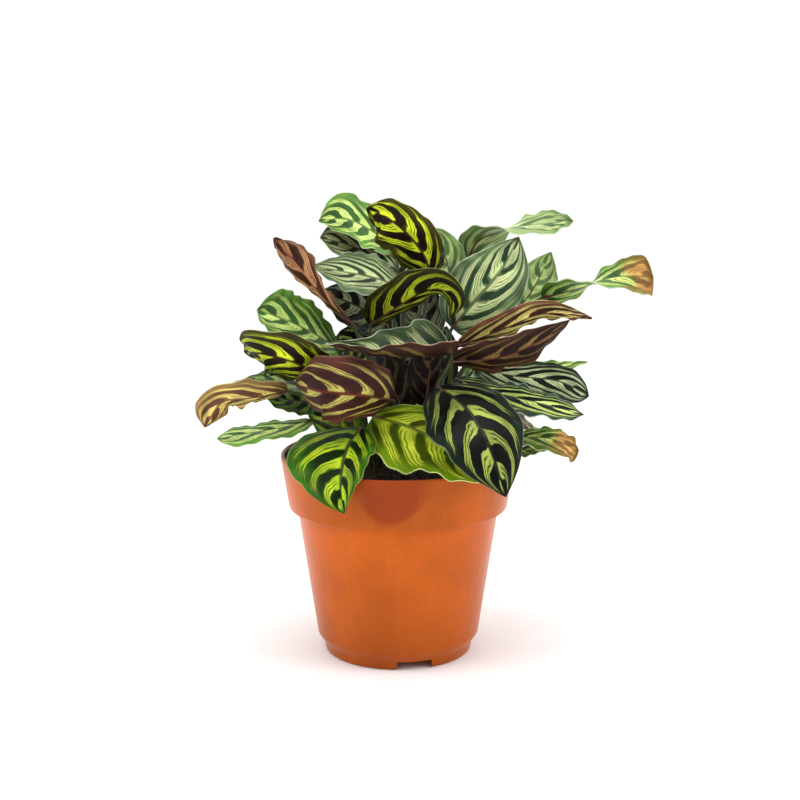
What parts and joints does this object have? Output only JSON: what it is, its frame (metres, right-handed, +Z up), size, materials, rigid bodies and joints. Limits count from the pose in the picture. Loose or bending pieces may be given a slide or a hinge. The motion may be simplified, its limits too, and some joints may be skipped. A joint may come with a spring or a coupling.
{
  "type": "potted house plant",
  "caption": "Potted peacock plant: long-stalked oval leaves with feathered dark green, silver and purple-brown stripes, rising from soil in a round orange nursery pot.",
  "frame": {"origin": "centre of the pad under the pot, on the pot's axis, at the level the pot stands on", "axes": "+Z up along the pot's axis, -Y toward the front of the plant, +X to the right seen from the front"},
  "size_m": [0.2233, 0.1609, 0.2341],
  "materials": {
    "pot_plastic": "satin terracotta-orange",
    "soil": "loose and dull",
    "leaf_green": "satin, yellow-green with dark green ovals and stripes",
    "leaf_silver_green": "satin, silver-green with dark green ovals and stripes",
    "leaf_deep_green": "satin, dark green with pale stripes",
    "leaf_purple_brown": "satin, purple-brown underside with yellow-green stripes"
  },
  "bodies": {
    "root": {"pot": "pot_plastic", "soil": "soil", "leaf_front_left": "leaf_green", "leaf_front_mid": "leaf_green", "leaf_front_right": "leaf_deep_green", "leaf_left_low": "leaf_purple_brown", "leaf_left_mid": "leaf_purple_brown", "leaf_left_mid_under": "leaf_green", "leaf_left_tip": "leaf_purple_brown", "leaf_left_under": "leaf_green", "leaf_left_narrow": "leaf_silver_green", "leaf_left_upper": "leaf_green", "leaf_left_curled": "leaf_purple_brown", "leaf_top_left": "leaf_green", "leaf_top_left_under": "leaf_silver_green", "leaf_upper_left": "leaf_silver_green", "leaf_left_shaded": "leaf_deep_green", "leaf_top_back": "leaf_silver_green", "leaf_crown": "leaf_green", "leaf_upper_mid": "leaf_purple_brown", "leaf_front_upper": "leaf_silver_green", "leaf_right_upper": "leaf_silver_green", "leaf_top_right": "leaf_silver_green", "leaf_right_small": "leaf_green", "leaf_far_right": "leaf_silver_green", "leaf_right_high": "leaf_purple_brown", "leaf_right_mid": "leaf_purple_brown", "leaf_right_low_far": "leaf_silver_green", "leaf_right_low_near": "leaf_silver_green", "leaf_right_corner": "leaf_green", "leaf_right_drooping": "leaf_green", "leaf_right_low_small": "leaf_green", "leaf_left_inner": "leaf_deep_green", "leaf_centre_left": "leaf_purple_brown", "leaf_centre_right": "leaf_purple_brown", "leaf_back_left": "leaf_green", "leaf_back_mid": "leaf_green", "leaf_back_right": "leaf_silver_green", "leaf_back_far_left": "leaf_green", "leaf_back_far_right": "leaf_green", "leaf_back_high_left": "leaf_silver_green", "leaf_back_high_right": "leaf_silver_green", "leaf_back_low": "leaf_green", "leaf_back_low_left": "leaf_green", "leaf_back_low_right": "leaf_green"}
  },
  "joints": []
}
